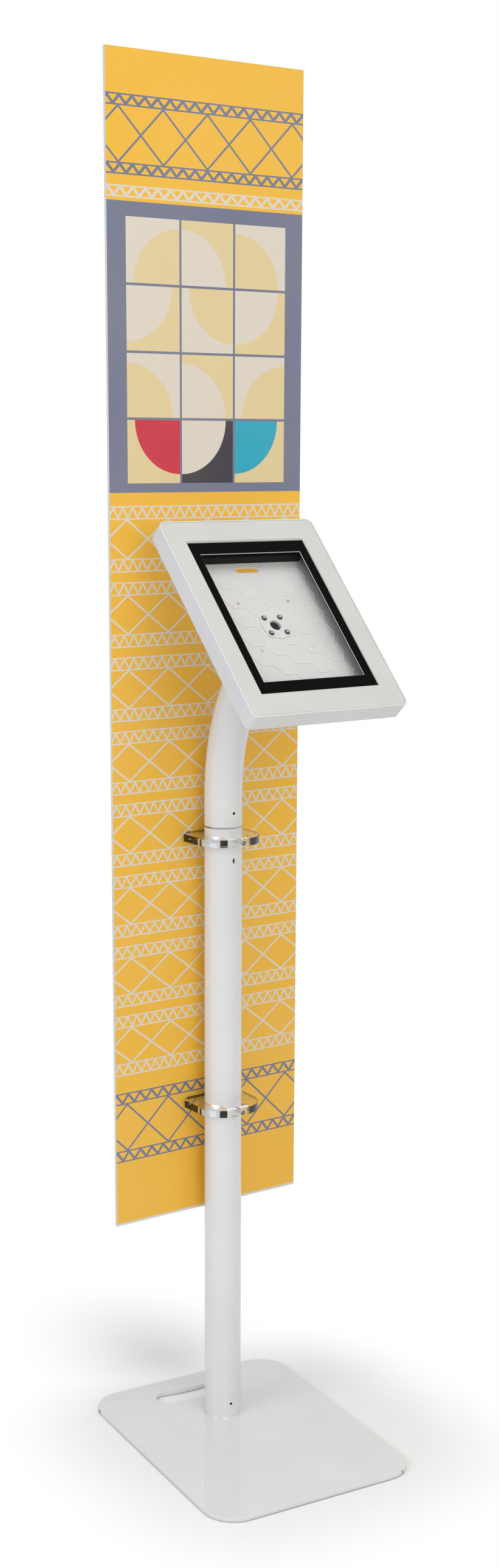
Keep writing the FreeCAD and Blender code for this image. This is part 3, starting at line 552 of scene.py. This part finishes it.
def dress_nodes():
    """Give each carried-over piece its finish."""
    aluminium = turned_metal("turned_aluminium", (0.84, 0.84, 0.85, 1), grey(0.93), 0.25, 0.4)
    steel = turned_metal("bright_steel", (0.31, 0.31, 0.315, 1), (0.44, 0.435, 0.43, 1), 0.04, 0.09)
    black_steel = turned_metal("dark_steel", (0.035, 0.034, 0.033, 1), (0.09, 0.088, 0.085, 1), 0.25, 0.4)
    mount_screw, clamp_screw = mount_screw_steel(), clamp_screw_steel()
    special = {
        # Painted shade: the front cover takes the case's white plastic in a darker tone, toning down the
        # light on its tilted face.
        "front_cover": white_plastic("cover_plastic_painted_shade", (0.632, 0.634, 0.614, 1), (0.657, 0.659, 0.639, 1)),
        "neck_plug": aluminium,
    }
    for number in range(1, 5):
        special["mount_screw_%d" % number] = mount_screw
    for place in ("upper", "lower"):
        special[place + "_clamp_screw"] = clamp_screw
    finishes = {
        "powder_coat": powder_coat(),
        "case_plastic": white_plastic("case_plastic", (0.705, 0.700, 0.700, 1), (0.730, 0.725, 0.722, 1)),
        "mask_plastic": mask_plastic(),
        "foam": black_foam(),
        "feet": rubber(),
        "turned_aluminium": aluminium,
        "bright_steel": steel,
        "dark_steel": black_steel,
        "clear_acrylic": clear_acrylic(),
        "tape": dark_tape(),
        "board_foam": foam_board(),
        "print_film": printed_film(),
    }
    for part in frame["record"]["subparts"]:
        mesh = nodes[part["node"]].data
        mesh.materials.clear()
        mesh.materials.append(special.get(part["node"], finishes[part["material_slot"]]))


# Studio
def make_floor():
    """Pale floor that keeps the stand's shadow near it and goes over to plain white further out."""
    bpy.ops.object.select_all(action="DESELECT")
    bpy.ops.mesh.primitive_circle_add(vertices=96, radius=FLOOR_RADIUS, fill_type="NGON")
    floor = bpy.context.object
    floor.name = "floor"
    n = Nodes("white_floor")
    x, y, _ = n.split(n.place())
    # Painted light: the floor glows plain white outside two ovals, one round the base and one behind it.
    # Across their soft rims the glow lightens the stand's shadow, a little even in the middle of the oval
    # behind.
    round_base = n.oval(x, y, centre=(0.015, -0.09), reach=(0.33, 0.335), power=3.0)
    behind = n.oval(x, y, centre=(0.03, 0.20), reach=(0.215, 0.34), power=2.0)
    outside = n.math("MINIMUM", n.smooth(round_base, 0.5, 1.02), n.smooth(behind, -0.15, 0.95))
    paper = n.blend(outside, n.plain("BsdfDiffuse", grey(0.98)), n.plain("Emission", grey(1.0)))
    floor.data.materials.append(n.finish(n.blend(n.seen(), n.plain("BsdfDiffuse", grey(0.86)), paper)))


def make_world():
    """White to the eye, in mirrors and through clear parts, and a softer light on matt surfaces."""
    n = Nodes("studio_world", world=True)
    scene.world = n.owner

    def light(strength, colour):
        node = n.add("Background")
        node.inputs["Strength"].default_value = strength
        node.inputs["Color"].default_value = colour
        return node.outputs[0]

    n.finish(n.blend(n.seen(), light(SOFT_LIGHT, (1.0, 0.985, 0.985, 1)), light(1.0, grey(1.0))))


def make_lamp(name, at, size, watts, colour):
    data = bpy.data.lights.new(name, "AREA")
    data.shape = "RECTANGLE"
    data.size, data.size_y = size
    data.energy = watts
    data.color = colour
    lamp = bpy.data.objects.new(name, data)
    scene.collection.objects.link(lamp)
    lamp.location = at
    lamp.rotation_euler = (LAMP_AIM - Vector(at)).to_track_quat("-Z", "Y").to_euler()


def make_studio():
    make_floor()
    make_world()
    make_lamp("front_lamp", at=(-0.6, -2.55, 1.75), size=(1.5, 1.5), watts=16.5, colour=(1.0, 0.985, 0.90))
    make_lamp("side_lamp", at=(-2.8, -0.4, 1.8), size=(1.5, 1.4), watts=20.5, colour=(0.76, 0.84, 1.0))
    make_lamp("top_lamp", at=(-0.2, -1.1, 4.2), size=(1.8, 1.8), watts=31, colour=(0.98, 1.0, 0.97))


# Foam strips in the head
def make_foam_strip(node):
    """Soft strip with rounded edges, in the place of its plain block."""
    source = nodes[node]
    to_head = Matrix.Rotation(-TILT, 4, "X") @ Matrix.Translation(-HEAD_ORIGIN)
    places = [to_head @ vertex.co for vertex in source.data.vertices]
    low = Vector(tuple(min(place[axis] for place in places) for axis in range(3)))
    high = Vector(tuple(max(place[axis] for place in places) for axis in range(3)))
    bpy.ops.object.select_all(action="DESELECT")
    bpy.ops.mesh.primitive_cube_add(size=1, location=(high + low) / 2)
    strip = bpy.context.object
    strip.name = node + "_pad"
    strip.dimensions = high - low
    bpy.ops.object.transform_apply(location=True, rotation=True, scale=True)
    bpy.ops.object.mode_set(mode="EDIT")
    bpy.ops.mesh.select_all(action="SELECT")
    bpy.ops.mesh.bevel(offset=FOAM_EDGE, segments=4, affect="EDGES")
    bpy.ops.object.mode_set(mode="OBJECT")
    bpy.ops.object.shade_smooth_by_angle(angle=math.radians(40))
    strip.data.transform(to_head.inverted())
    strip.data.materials.append(source.data.materials[0])
    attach(strip, "head")
    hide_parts(node)


make_camera()
dress_nodes()
make_foam_strip("foam_top")
make_foam_strip("foam_bottom")
make_studio()

scene.view_settings.view_transform = "Standard"
